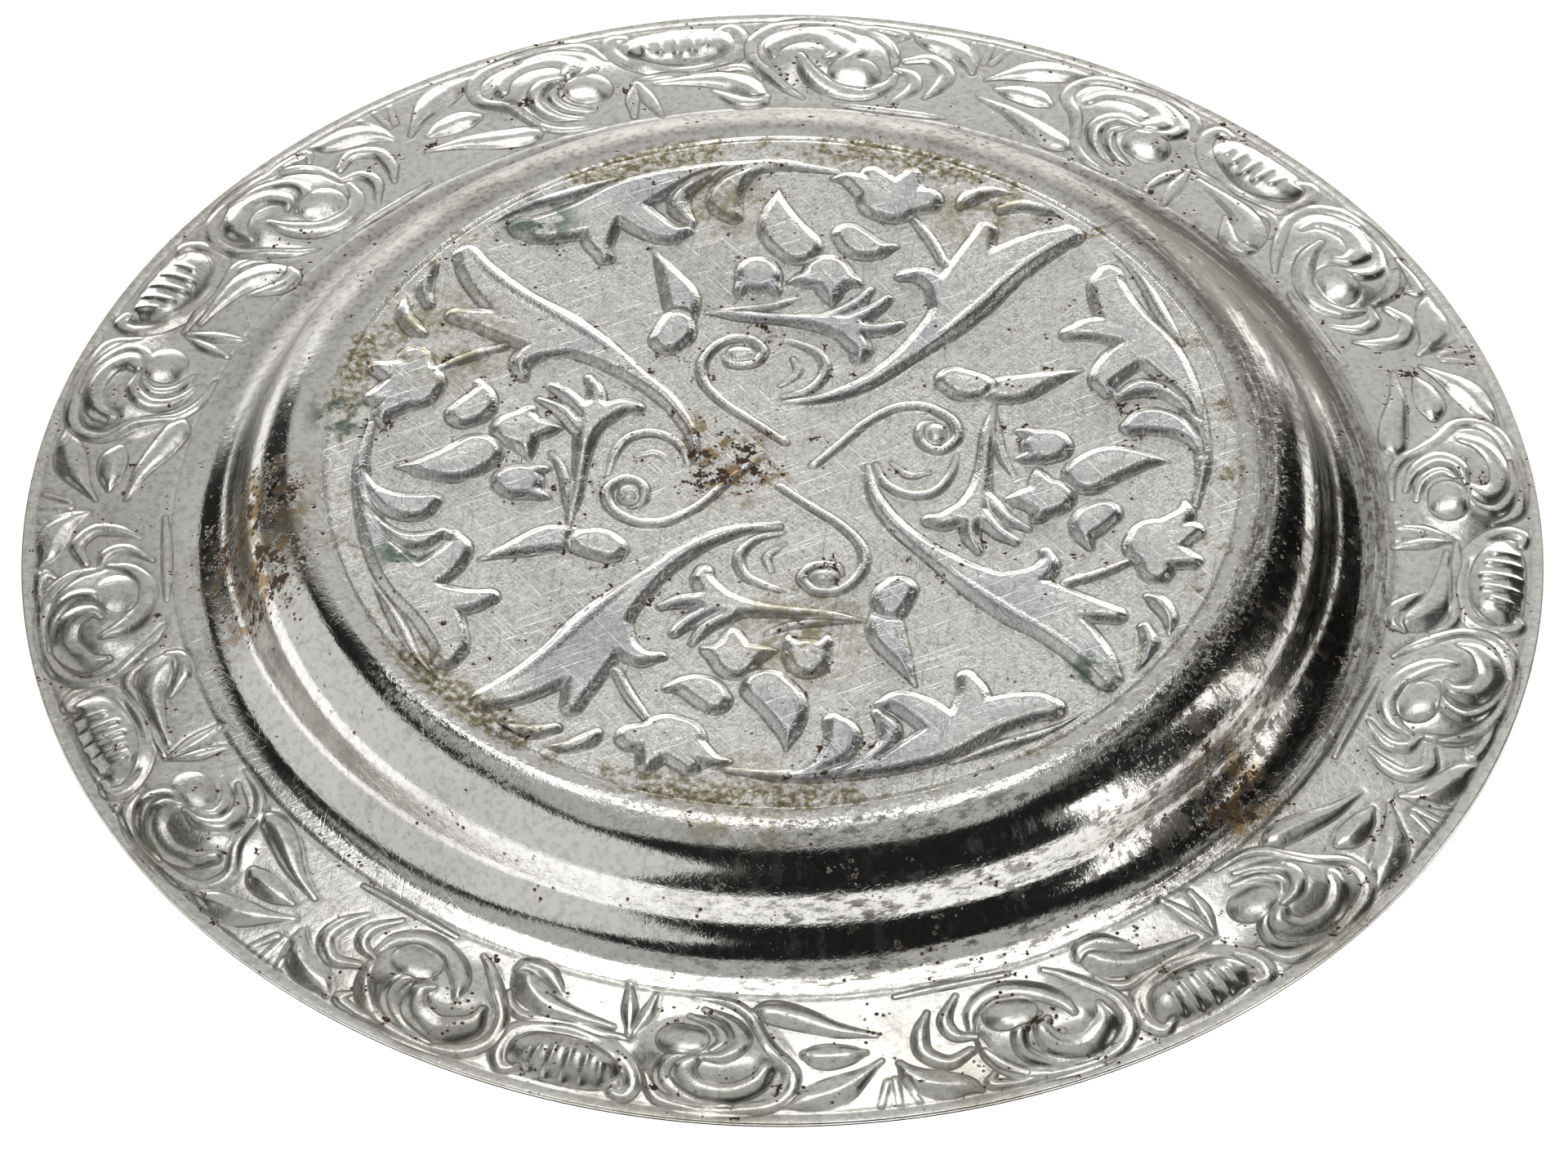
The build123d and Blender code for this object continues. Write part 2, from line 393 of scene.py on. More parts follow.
def depth_inside(x, y, lines):
    """How far each place lies inside a shape, and its half width there.

    The shape is the union of round-ended strokes. The depth is the greatest,
    over every piece of every line, of half the width less the distance.
    """
    depth = np.full(x.shape, -9.0)
    half = np.zeros(x.shape)
    for line in lines:
        for (ax, ay, aw), (bx, by, bw) in zip(line[:-1], line[1:]):
            dx, dy = bx - ax, by - ay
            share = np.clip(((x - ax) * dx + (y - ay) * dy) / (dx * dx + dy * dy + 1e-12), 0, 1)
            away = np.hypot(x - ax - share * dx, y - ay - share * dy)
            half_here = (aw + (bw - aw) * share) / 2
            deeper = half_here - away > depth
            depth = np.where(deeper, half_here - away, depth)
            half = np.where(deeper, half_here, half)
    return depth, half


def press(fields, x, y, style, lines, share=1.0, soft=1.0):
    """Presses one shape into the relief, crease and fringe fields, in place.

    The edge rises as a nearly straight bevel. A shape narrower than two bevels
    rises as a parabola instead, and less high. The middle dishes, and a crease
    follows the outline. Share scales the height, and soft the bevel's width.
    """
    relief, crease, fringe = fields
    every = np.concatenate(lines)
    margin = every[:, 2].max() / 2 + STROKE_REACH
    near = (
        (x > every[:, 0].min() - margin) & (x < every[:, 0].max() + margin)
        & (y > every[:, 1].min() - margin) & (y < every[:, 1].max() + margin)
    )
    if not near.any():
        return
    inside, half = depth_inside(x[near], y[near], lines)
    if style in DETAILS:
        lift, edge = DETAILS[style]
        relief[near] += lift * smooth(-edge / 3, edge, inside)
        return
    lift, edge, dish, groove = STYLES[style]
    edge *= soft
    reach = np.clip(half, 0.05, edge)
    way = np.clip(inside / reach, 0, 1)
    bevel = 0.6 * way + 0.4 * smooth(0, 1, way)
    wide = smooth(0.75, 1.0, half / edge)
    rise = lift * (reach / edge) ** 0.8 * (bevel * wide + way * (2 - way) * (1 - wide))
    rise = share * (rise - dish * smooth(edge * 0.8, edge * 2.4, inside))
    outline = np.exp(-((inside + CREASE_OUTSIDE) / CREASE_WIDTH) ** 2)
    cover = smooth(-0.05, 0.20, inside)
    relief[near] = relief[near] * (1 - cover) + rise * cover - groove * outline
    crease[near] = np.maximum(crease[near] * (1 - cover), outline)
    halo = np.exp(-(np.minimum(inside, 0) / FRINGE_WIDTH) ** 2) * (inside < 0)
    fringe[near] = np.maximum(fringe[near] * (1 - cover), halo)


def soften(field):
    """Rounds a pressed relief: passes of a 1-2-1 average along both grid directions."""
    for _ in range(SOFT_PASSES):
        wide = np.pad(field, 1, mode="edge")
        field = (wide[:-2, 1:-1] + 2 * wide[1:-1, 1:-1] + wide[2:, 1:-1]) / 4
        wide = np.pad(field, 1, mode="edge")
        field = (wide[1:-1, :-2] + 2 * wide[1:-1, 1:-1] + wide[1:-1, 2:]) / 4
    return field


def turned_line(points, shift, plate):
    """A rim stroke's points as places in millimetres, its repeat turned by a shift."""
    return stroke_line([
        (r * plate * math.sin(math.radians(t + shift)),
         r * plate * math.cos(math.radians(t + shift)), w * plate)
        for t, r, w in points
    ])


def rim_relief(angle, radius, sizes):
    """Relief, crease and fringe of the rim for one repeat: broad swells, the
    ornament of this repeat and its neighbours on top, and two turned lines."""
    plate = sizes["radius"]
    x = radius * np.sin(np.radians(angle))
    y = radius * np.cos(np.radians(angle))
    swell = np.zeros((3, *x.shape))
    fields = np.zeros((3, *x.shape))
    for shift in (-REPEAT_ANGLE, REPEAT_ANGLE, 0.0):
        for style, *lines in RIM_SWELLS:
            press(swell, x, y, style, [turned_line(line, shift, plate) for line in lines])
        for style, *lines in RIM_STROKES:
            turned = [turned_line(line, shift, plate) for line in lines]
            press(fields, x, y, style, turned, RIM_SHARE, RIM_SOFT)
    relief, crease, fringe = fields
    relief = relief + swell[0]
    for share, depth, width in RIM_LINES:
        line = np.exp(-((radius - share * plate) / width) ** 2)
        relief = relief - depth * line
        crease = np.maximum(crease, 0.7 * line)
    return soften(relief), crease, fringe


def field_relief(x, y, sizes):
    """Relief, crease and fringe of the centre: the quarter's shapes, turned four ways."""
    unit = sizes["field"]
    fields = np.zeros((3, *x.shape))
    for turn in range(FIELD_REPEATS):
        for style, *outlines in FIELD_STROKES:
            lines = []
            for points in outlines:
                line = stroke_line([(px * unit, -py * unit, w * unit) for px, py, w in points])
                for _ in range(turn):
                    line = np.column_stack([line[:, 1], -line[:, 0], line[:, 2]])
                lines.append(line)
            press(fields, x, y, style, lines)
    relief, crease, fringe = fields
    return soften(relief), crease, fringe


# ---- shells ----

RIM_CUT = 58.9             # where the rim's pieces meet the wall
RIM_MIDDLE = 67.0          # where a rim piece is as finely divided across as along
FIELD_CUT = 43.9           # where the wall meets the centre
RIM_PITCH = 0.127
WALL_ROWS, WALL_COLUMNS = ((114, 504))
CENTRE_COUNT = 266
FIELD_GROOVE = (45.0, 0.12, 0.24)    # radius, depth and width of the groove round the field
FLAT_BAND = 6.0            # of the rim, over which the dents and the relief ease out
FIELD_NAMES = ("relief", "crease", "fringe")    # what a mesh tells the finish


def grid_normals(points, around):
    """Normals of a grid: the cross product of its two directions."""
    first = np.gradient(points, axis=0)
    if around:
        first = (np.roll(points, -1, axis=0) - np.roll(points, 1, axis=0)) / 2
    normals = np.cross(first, np.gradient(points, axis=1))
    return normals / (np.linalg.norm(normals, axis=2, keepdims=True) + 1e-12)


def quads(count_a, count_b, start, around, flip):
    """Faces of a grid of vertices, numbered from start."""
    a = np.arange(count_a if around else count_a - 1)
    b = np.arange(count_b - 1)
    a, b = np.meshgrid(a, b, indexing="ij")
    after = (a + 1) % count_a
    corners = [a * count_b + b, after * count_b + b, after * count_b + b + 1, a * count_b + b + 1]
    if flip:
        corners.reverse()
    return start + np.stack([c.ravel() for c in corners], axis=1)


def seam(top_row, bottom_row, around):
    """Five-sided faces that join a row to one with every second vertex."""
    if around:
        top_row = np.append(top_row, top_row[0])
        bottom_row = np.append(bottom_row, bottom_row[0])
    return np.stack([
        top_row[0:-2:2], top_row[1:-1:2], top_row[2::2], bottom_row[1:], bottom_row[:-1],
    ], axis=1)


def build_shell(name, top, under, fields, inner, around=False):
    """A closed piece of sheet from the inner part of its top and underside grids.

    The underside keeps every second vertex in both directions. The grids' first
    direction, crossed with the second, points up.
    """
    normals = grid_normals(top, around)[inner]
    fields = {key: values[inner] for key, values in zip(FIELD_NAMES, fields)}
    top, under = top[inner], under[inner][::2, ::2]
    count_a, count_b = top.shape[:2]
    low_a, low_b = under.shape[:2]
    top_ids = np.arange(count_a * count_b).reshape(count_a, count_b)
    low_ids = count_a * count_b + np.arange(low_a * low_b).reshape(low_a, low_b)
    back, low_back = top_ids[::-1, 0], low_ids[::-1, 0]
    if around:
        back, low_back = np.roll(back, 1), np.roll(low_back, 1)
    sides = [seam(back, low_back, around), seam(top_ids[:, -1], low_ids[:, -1], around)]
    if not around:
        sides.append(seam(top_ids[0, :], low_ids[0, :], False))
        sides.append(seam(top_ids[-1, ::-1], low_ids[-1, ::-1], False))
    faces4 = np.concatenate([
        quads(count_a, count_b, 0, around, False),
        quads(low_a, low_b, count_a * count_b, around, True),
    ])
    faces5 = np.concatenate(sides)
    loops = np.concatenate([faces4.ravel(), faces5.ravel()])
    sizes = np.concatenate([np.full(len(faces4), 4), np.full(len(faces5), 5)])
    starts = np.concatenate([[0], np.cumsum(sizes)[:-1]])
    vertices = np.concatenate([top.reshape(-1, 3), under.reshape(-1, 3)]) * MM

    mesh = bpy.data.meshes.new(name)
    mesh.vertices.add(len(vertices))
    mesh.vertices.foreach_set("co", vertices.astype(np.float32).ravel())
    mesh.loops.add(len(loops))
    mesh.loops.foreach_set("vertex_index", loops.astype(np.int32))
    mesh.polygons.add(len(sizes))
    mesh.polygons.foreach_set("loop_start", starts.astype(np.int32))
    mesh.polygons.foreach_set("use_smooth", np.ones(len(sizes), bool))
    mesh.update(calc_edges=True)
    mesh.validate()
    for key, values in fields.items():
        layer = mesh.attributes.new(key, "FLOAT", "POINT")
        low = values[::2, ::2].ravel()
        layer.data.foreach_set("value", np.concatenate([values.ravel(), low]).astype(np.float32))
    low_normals = -normals[::2, ::2].reshape(-1, 3)
    mesh.normals_split_custom_set_from_vertices(
        np.concatenate([normals.reshape(-1, 3), low_normals])
    )
    piece = bpy.data.objects.new(name, mesh)
    bpy.context.collection.objects.link(piece)
    return piece


def sheet_points(table, along, angle, offset):
    """Places on the sheet: the underside at an arc length, moved along the
    section's normal by the offset, and turned to an angle about the middle."""
    direction = np.interp(along, table["along"], table["direction"])
    radius = np.interp(along, table["along"], table["radius"]) - np.sin(direction) * offset
    height = np.interp(along, table["along"], table["height"]) + np.cos(direction) * offset
    return np.stack([radius * np.sin(angle), radius * np.cos(angle), height], axis=2)


def rest_share(radius, sizes):
    """1 over most of the plate, easing to 0 on the border, which has to stay flat."""
    return 1 - smooth(sizes["radius"] - FLAT_BAND, sizes["radius"] - sizes["border"], radius)


def finish_piece(context, piece):
    """Gives a piece its metal and tells the frame what it is."""
    piece.data.materials.append(worn_plating(context.scene.plate_finish))
    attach(piece, "root")
    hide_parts("plate")


def rim_samples(table, sizes):
    """Arc lengths from the wall's foot to the cut edge, closer round its arris."""
    end = table["along"][-1]
    first = arc_length(table, RIM_CUT)
    count = 2 * round((end - sizes["arris"] - first) / RIM_PITCH / 2)
    plain = np.linspace(first, end - sizes["arris"], count + 1)
    round_off = end - sizes["arris"] * (1 - np.sin(np.linspace(0, math.pi / 2, 5)[1:]))
    return np.concatenate([plain, round_off])


class PLATE_OT_rim(bpy.types.Operator):
    """Build the ornamented rim, one piece for each repeat"""

    bl_idname = "plate.rim"
    bl_label = "Rim"

    def execute(self, context):
        sizes = millimetres(context.scene.plate_sizes)
        table = section(sizes)
        along = rim_samples(table, sizes)
        step = along[1] - along[0]
        wide = np.concatenate([[along[0] - step], along])
        count = 2 * round(math.radians(REPEAT_ANGLE) * RIM_MIDDLE / RIM_PITCH / 2)
        share = np.arange(-SPARE, count + 1 + SPARE) / count
        angle = np.radians(share * REPEAT_ANGLE)
        angle, wide = np.meshgrid(angle, wide, indexing="ij")
        radius = np.interp(wide, table["along"], table["radius"])
        relief, crease, fringe = rim_relief(np.degrees(angle), radius, sizes)
        inset = np.clip(sizes["arris"] - (table["along"][-1] - wide), 0, sizes["arris"])
        rounding = sizes["arris"] - np.sqrt(sizes["arris"] ** 2 - inset ** 2)
        inner = (slice(SPARE, -SPARE), slice(1, None))
        for repeat in range(RIM_REPEATS):
            turned = angle + math.radians(FIRST_REPEAT + repeat * REPEAT_ANGLE)
            dents = waviness(radius * np.sin(turned), radius * np.cos(turned), sizes["waviness"])
            lift = relief + (dents + sizes["waviness"]) * rest_share(radius, sizes)
            top = sheet_points(table, wide, turned, sizes["sheet"] + lift - rounding)
            under = sheet_points(table, wide, turned, np.maximum(lift, 0) + rounding)
            fields = (relief, crease, fringe)
            finish_piece(context, build_shell(f"rim_{repeat + 1}", top, under, fields, inner))
        return {"FINISHED"}


class PLATE_OT_wall(bpy.types.Operator):
    """Build the plain wall between the rim and the raised centre"""

    bl_idname = "plate.wall"
    bl_label = "Wall"

    def execute(self, context):
        sizes = millimetres(context.scene.plate_sizes)
        table = section(sizes)
        first, last = arc_length(table, FIELD_CUT), arc_length(table, RIM_CUT)
        along = np.linspace(first, last, WALL_ROWS + 1)
        step = along[1] - along[0]
        along = np.concatenate([[first - step], along, [last + step]])
        angle = np.radians(FIRST_REPEAT) + np.arange(WALL_COLUMNS) * math.tau / WALL_COLUMNS
        angle, along = np.meshgrid(angle, along, indexing="ij")
        radius = np.interp(along, table["along"], table["radius"])
        groove_radius, depth, width = FIELD_GROOVE
        groove = np.exp(-((radius - groove_radius) / width) ** 2)
        crease = 0.8 * groove
        relief = -depth * groove
        dents = waviness(radius * np.sin(angle), radius * np.cos(angle), sizes["waviness"])
        lift = relief + dents + sizes["waviness"]
        top = sheet_points(table, along, angle, sizes["sheet"] + lift)
        under = sheet_points(table, along, angle, lift)
        inner = (slice(None), slice(1, -1))
        fields = (relief, crease, groove)
        finish_piece(context, build_shell("wall", top, under, fields, inner, around=True))
        return {"FINISHED"}


class PLATE_OT_centre(bpy.types.Operator):
    """Build the raised centre field, one piece for each quarter"""

    bl_idname = "plate.centre"
    bl_label = "Centre"

    def execute(self, context):
        sizes = millimetres(context.scene.plate_sizes)
        share = np.arange(-SPARE, CENTRE_COUNT + 1 + SPARE) / CENTRE_COUNT
        a, b = np.meshgrid(share, share, indexing="ij")
        x = a * np.sqrt(1 - b * b / 2) * FIELD_CUT
        y = b * np.sqrt(1 - a * a / 2) * FIELD_CUT
        relief, crease, fringe = field_relief(x, y, sizes)
        inner = (slice(SPARE, -SPARE), slice(SPARE, -SPARE))
        for quarter in range(FIELD_REPEATS):
            dents = waviness(x, y, sizes["waviness"]) + sizes["waviness"]
            ground = sizes["ground"] - sizes["sheet"] + dents + relief
            top = np.stack([x, y, ground + sizes["sheet"]], axis=2)
            under = np.stack([x, y, ground], axis=2)
            fields = (relief, crease, fringe)
            finish_piece(context, build_shell(f"centre_{quarter + 1}", top, under, fields, inner))
            x, y = y, -x
        return {"FINISHED"}


# ---- finish ----


class Wire:
    """A socket that varies over the surface. Operators on it add Math nodes."""

    def __init__(self, finish, socket):
        self.finish = finish
        self.socket = socket

    def maths(self, operation, *values):
        return self.finish.add("ShaderNodeMath", {"operation": operation}, dict(enumerate(values)))

    def __add__(self, other):
        return self.maths("ADD", self, other)

    def __radd__(self, other):
        return self.maths("ADD", other, self)

    def __sub__(self, other):
        return self.maths("SUBTRACT", self, other)

    def __rsub__(self, other):
        return self.maths("SUBTRACT", other, self)

    def __mul__(self, other):
        return self.maths("MULTIPLY", self, other)

    def __neg__(self):
        return self.maths("MULTIPLY", self, -1.0)

    def __rtruediv__(self, other):
        return self.maths("DIVIDE", other, self)

    def __pow__(self, other):
        return self.maths("POWER", self, other)

    def sine(self):
        return self.maths("SINE", self)

    def greater(self, other):
        return self.maths("MAXIMUM", self, other)


class Finish:
    """Builds one material's nodes."""

    def __init__(self, name):
        self.material = bpy.data.materials.new(name)
        self.material.use_nodes = True
        self.tree = self.material.node_tree
        self.tree.nodes.clear()

    def add(self, kind, settings=None, inputs=None, output=0):
        """A node of a kind, its settings made first, then its sockets set or linked."""
        node = self.tree.nodes.new(kind)
        for key, value in (settings or {}).items():
            setattr(node, key, value)
        for key, value in (inputs or {}).items():
            if isinstance(value, Wire):
                self.tree.links.new(value.socket, node.inputs[key])
            else:
                node.inputs[key].default_value = value
        return Wire(self, node.outputs[output]) if len(node.outputs) else None

    def between(self, value, low, high):
        """Eases from 0 to 1 as a value goes from low to high."""
        return self.add(
            "ShaderNodeMapRange", {"interpolation_type": "SMOOTHSTEP"},
            {"Value": value, "From Min": low, "From Max": high},
        )

    def noise(self, vector, scale, detail=3.0, roughness=0.5):
        """Plain noise from 0 to 1."""
        return self.add(
            "ShaderNodeTexNoise", None,
            {"Vector": vector, "Scale": scale, "Detail": detail, "Roughness": roughness},
        )

    def mix(self, share, below, above):
        """A colour between two."""
        return self.add(
            "ShaderNodeMix", {"data_type": "RGBA"}, {0: share, 6: below, 7: above}, output=2
        )


def opaque(tint):
    """A colour with full alpha."""
    return (*tint, 1.0)


class Places:
    """Coordinates that every part of the finish reads, in millimetres."""

    def __init__(self, finish):
        self.finish = finish
        self.object = finish.add("ShaderNodeTexCoord", output=3)
        parts = finish.tree.nodes.new("ShaderNodeSeparateXYZ")
        finish.tree.links.new(self.object.socket, parts.inputs[0])
        self.x, self.y, self.z = (Wire(finish, socket) * (1 / MM) for socket in parts.outputs)
        self.radius = (self.x * self.x + self.y * self.y) ** 0.5
        self.relief, self.crease, self.fringe = (
            finish.add("ShaderNodeAttribute", {"attribute_name": name}, output=2)
            for name in FIELD_NAMES
        )

    def vector(self, a, b, c):
        """Three values as a vector."""
        return self.finish.add("ShaderNodeCombineXYZ", None, {0: a, 1: b, 2: c})

    def scratched(self, degrees, along, across):
        """A vector that is long one way and short the other, for scratches."""
        turn = math.radians(degrees)
        lengthways = self.x * math.cos(turn) + self.y * math.sin(turn)
        sideways = self.y * math.cos(turn) - self.x * math.sin(turn)
        return self.vector(lengthways * along, sideways * across, self.z * across)

    def swept(self, around, across):
        """A vector that runs round the plate, for marks of the spinning tool."""
        share = around / (self.radius + 0.01)
        return self.vector(self.x * share, self.y * share, (self.radius + self.z) * across)

    def spot(self, x, y, reach):
        """1 at a place in the plate, easing to 0 at its reach."""
        away = ((self.x - x) ** 2.0 + (self.y - y) ** 2.0) ** 0.5
        return 1 - self.finish.between(away, reach * 0.25, reach)

    def stains(self, spots):
        """The union of several spots."""
        total = self.spot(*spots[0])
        for spot in spots[1:]:
            total = total.greater(self.spot(*spot))
        return total


BUMP_UNIT = 0.1            # millimetres of height for a value of 1

# Spots of wear: x, y and reach in millimetres.
OLIVE_SPOTS = [
    (-51, -5, 10), (-33.5, 17, 10), (2, -22.5, 9), (-6, 36, 7), (20, 35, 7), (-4, -44.6, 9),
]
BORDER_SPOTS = [(-4, -44, 16), (-30, -32, 14), (12, 42, 14), (-14, 41, 12), (-42, 12, 10)]
RUST_SPOTS = [
    (-4.5, -0.5, 8), (-7, 3, 6), (-52.5, -3, 9), (-50, -12, 8), (44.6, -35.5, 7), (45.5, -36.5, 4),
]
GREEN_SPOTS = [(-43.6, 7, 4.5), (-37, -12, 4), (30, -28, 4), (-24, 33, 5)]


class Wear(Finish):
    """The worn plating: where it is what, as zones, clouds and marks from 0 to 1."""

    def __init__(self, name):
        super().__init__(name)
        self.at = at = Places(self)
        between, noise = self.between, self.noise

        # zones from the middle out
        self.field = 1 - between(at.radius, 44.8, 45.6)
        self.shoulder = between(at.radius, 45.6, 46.8) * (1 - between(at.radius, 48.4, 50.2))
        self.wall = between(at.radius, 45.4, 47.2) * (1 - between(at.radius, 58.5, 61.5))
        # Far side of the wall: painted shade, its colour dulled and its roughness raised where its
        # reflection is weaker
        self.far_wall_shade = self.wall * between(at.y, 0.0, 34.0)
        self.rim = between(at.radius, 58.0, 62.0)
        self.top = between(at.relief, 0.10, 0.28)
        self.ground = self.field * (1 - between(at.relief, 0.03, 0.10))

        # clouds and grain, large to small
        self.cloud = noise(at.object, 70.0, 4.0, 0.62)
        self.blotch = noise(at.object, 330.0, 4.0, 0.6)
        self.mottle = noise(at.object, 1400.0, 3.0, 0.6)
        self.grain = noise(at.object, 4200.0, 2.0, 0.6)

        # marks that run round the wall
        self.streaks = noise(at.swept(5.0, 2.6), 1.0, 4.0, 0.65)
        self.bands = noise(at.swept(2.5, 0.35), 1.0, 4.0, 0.6)
        self.scuffs = self.wall * between(at.x - at.y, 30.0, 62.0) * between(
            noise(at.swept(26.0, 2.2), 1.0, 4.0, 0.7), 0.50, 0.60)

        self.scratches = self.scratch_marks()
        self.net = self.crossed_lines()
        self.pits = self.shoulder_pits()
        self.dirt = between(at.crease, 0.40, 0.95) * between(self.blotch, 0.25, 0.62) * 0.80
        self.border_dirt = self.dirt_round_field()
        self.olive = self.oil_film()
        self.broken = at.stains(RUST_SPOTS)
        self.ochre = self.broken * between(
            noise(at.object, 420.0, 4.0, 0.7) + self.broken * 0.08, 0.54, 0.66) * 0.85
        self.worn = self.rust_crumbs()
        self.green = at.stains(GREEN_SPOTS) * between(self.blotch, 0.46, 0.58) * 0.8

    def scratch_marks(self):
        """Long scratches three ways, where the plate was handled."""
        at, between, noise = self.at, self.between, self.noise
        rising = between(noise(at.scratched(25, 0.14, 2.8), 1.0, 2.0), 0.60, 0.70)
        falling = between(noise(at.scratched(-52, 0.10, 3.2), 1.0, 2.0), 0.61, 0.70)
        upright = between(noise(at.scratched(84, 0.13, 2.6), 1.0, 2.0), 0.62, 0.71)
        return rising.greater(falling).greater(upright) * between(self.cloud, 0.34, 0.58)

    def crossed_lines(self):
        """Net of fine lines on the ground of the centre, worn away in places."""
        at, between = self.at, self.between
        wander = self.noise(at.object, 260.0, 3.0) * 3.0
        rising = (at.x * 9.6 + at.y * 9.9 + wander).sine()
        falling = (at.x * 9.9 - at.y * 9.3 + wander).sine()
        return between(rising.greater(falling), 0.50, 1.0) * between(self.blotch, 0.34, 0.62)

    def shoulder_pits(self):
        """Pits along the shoulder, most of them at the front and on the right."""
        at, between, noise = self.at, self.between, self.noise
        front = between(-at.y, 14.0, 42.0).greater(between(at.x, 22.0, 44.0))
        patches = between(noise(at.object, 1700.0, 3.0, 0.7), 0.50, 0.66)
        return self.shoulder * (0.15 + front * 0.85) * between(self.cloud, 0.34, 0.60) * patches

    def dirt_round_field(self):
        """Old dirt along the border of the centre field."""
        at, between = self.at, self.between
        border = between(at.radius, 40.8, 43.6) * (1 - between(at.radius, 45.2, 46.4))
        gathered = self.blotch + at.stains(BORDER_SPOTS) * 0.22
        return border * between(gathered, 0.52, 0.68)

    def oil_film(self):
        """Olive film in spots, and over the dirt round the field."""
        between = self.between
        patchy = self.blotch * 0.6 + self.mottle * 0.4
        spots = self.at.stains(OLIVE_SPOTS) * between(patchy, 0.42, 0.58)
        return spots.greater(self.border_dirt * between(self.mottle, 0.36, 0.52))

    def rust_crumbs(self):
        """Flecks and crumbs of rust, gathered round the ornament and in the rust spots."""
        at, between, noise = self.at, self.between, self.noise
        gathered = (
            between(noise(at.object, 95.0, 3.0, 0.6), 0.46, 0.62)
            * (0.30 + between(at.fringe, 0.15, 0.80) * 0.70)
        )
        cells = self.add(
            "ShaderNodeTexVoronoi", {"feature": "F1"}, {"Vector": at.object, "Scale": 1300.0}
        )
        flecks = (1 - between(cells, 0.12, 0.32)) * between(
            noise(at.object, 240.0, 3.0, 0.7) + gathered * 0.12 + self.broken * 0.20, 0.60, 0.66)
        crumbs = between(
            noise(at.object, 520.0, 4.0, 0.75) + gathered * 0.10 + self.broken * 0.14, 0.675, 0.715)
        return flecks.greater(crumbs)


def plating_tint(wear, colours):
    """Colour of the plating: coats of a share and a colour, each over the ones before."""
    at, between = wear.at, wear.between
    polished = wear.top * between(wear.cloud, 0.40, 0.66) * (0.3 + wear.field * 0.4)
    # Dulling: random clouds and marks of tarnish, plus painted shade on the far side of the wall
    dull_and_shade = (
        between(wear.cloud, 0.48, 0.78) * 0.24 + between(wear.mottle, 0.44, 0.68) * 0.26
        + between(wear.grain, 0.46, 0.66) * wear.field * 0.30
        # painted shade on the far side of the wall
        + wear.far_wall_shade * 0.60
        # darker and duller towards the left of the rim
        + wear.rim * between(-at.x, 30.0, 66.0) * 0.22
        + wear.wall * between(at.x, 24.0, 46.0) * between(wear.streaks, 0.30, 0.56) * 0.60
        + wear.scuffs * 0.60
    )
    grime = wear.border_dirt * between(wear.mottle, 0.50, 0.60)
    rim_film = (
        between(at.radius, 60.0, 72.0) * between(wear.cloud, 0.40, 0.66)
        * (0.12 + between(-at.y, 20.0, 64.0) * 0.25)
    )
    coats = [
        (polished, colours.cool),
        (dull_and_shade + wear.net * wear.ground * 0.20, colours.tarnish_and_shade),
        (wear.dirt, colours.tarnish_and_shade),
        (wear.scratches * wear.field * 0.5, colours.metal),
        (wear.olive * 0.74, colours.olive),
        (grime * 0.55, colours.rust),
        (rim_film, colours.olive),
        (wear.ochre, colours.ochre),
        (wear.worn, colours.rust),
        (wear.green, colours.verdigris),
    ]
    tint = opaque(colours.metal)
    for share, coat in coats:
        tint = wear.mix(share, tint, opaque(coat))
    return tint


def plating_roughness(wear, colours):
    """Roughness: the polished wall, and what every zone and mark adds to it."""
    return (
        colours.polish
        + wear.field * 0.17
        + wear.rim * 0.12
        + (wear.streaks - 0.5) * wear.wall * 0.08
        + wear.between(wear.cloud, 0.35, 0.8) * 0.08
        + wear.pits * 0.30
        + wear.scuffs * 0.16
        + wear.far_wall_shade * 0.38
        + wear.dirt * 0.30
        + wear.olive * 0.15
        + wear.worn * 0.5
    )


def plating_height(wear):
    """Fine relief of the surface, in units of BUMP_UNIT."""
    return (
        wear.streaks * wear.wall * 0.08
        + wear.bands * wear.wall * 0.30
        - wear.net * wear.ground * 0.07
        + wear.mottle * (0.16 + wear.field * 0.16)
        + wear.grain * (0.06 + wear.field * 0.30)
        - wear.scratches * (0.05 + wear.field * 0.20)
        - wear.pits * 0.25
        - wear.worn * 0.35
    )


def worn_plating(colours):
    """The worn plating, one material for the whole plate."""
    if "worn_plating" in bpy.data.materials:
        return bpy.data.materials["worn_plating"]
    wear = Wear("worn_plating")
    bump = wear.add("ShaderNodeBump", None, {
        "Strength": 1.0,
        "Distance": BUMP_UNIT * MM,
        "Height": plating_height(wear),
    })
    shader = wear.add("ShaderNodeBsdfPrincipled", None, {
        "Base Color": plating_tint(wear, colours),
        "Metallic": 1 - wear.worn * 0.9 - wear.green * 0.8 - wear.dirt * 0.3 - wear.ochre * 0.5,
        "Roughness": plating_roughness(wear, colours),
        "Normal": bump,
    })
    wear.add("ShaderNodeOutputMaterial", None, {"Surface": shader})
    return wear.material


# ---- studio ----

TABLE_HALF = 3.0           # metres from the middle of the tabletop to its sides
TABLE_GLOW = 0.85          # strength of its own light
AIR_GLOW = 0.013           # strength of the light from everywhere
AIM = (0.002, -0.052, 0)   # where the camera looks, in shares of the plate's radius
AIM_HEIGHT = 0.5           # and how far over the tabletop, in millimetres


def direction(azimuth, elevation):
    """Unit way from the plate: azimuth clockwise from +Y, both in degrees."""
    turn, rise = math.radians(azimuth), math.radians(elevation)
    level = math.cos(rise)
    return Vector((math.sin(turn) * level, math.cos(turn) * level, math.sin(rise)))


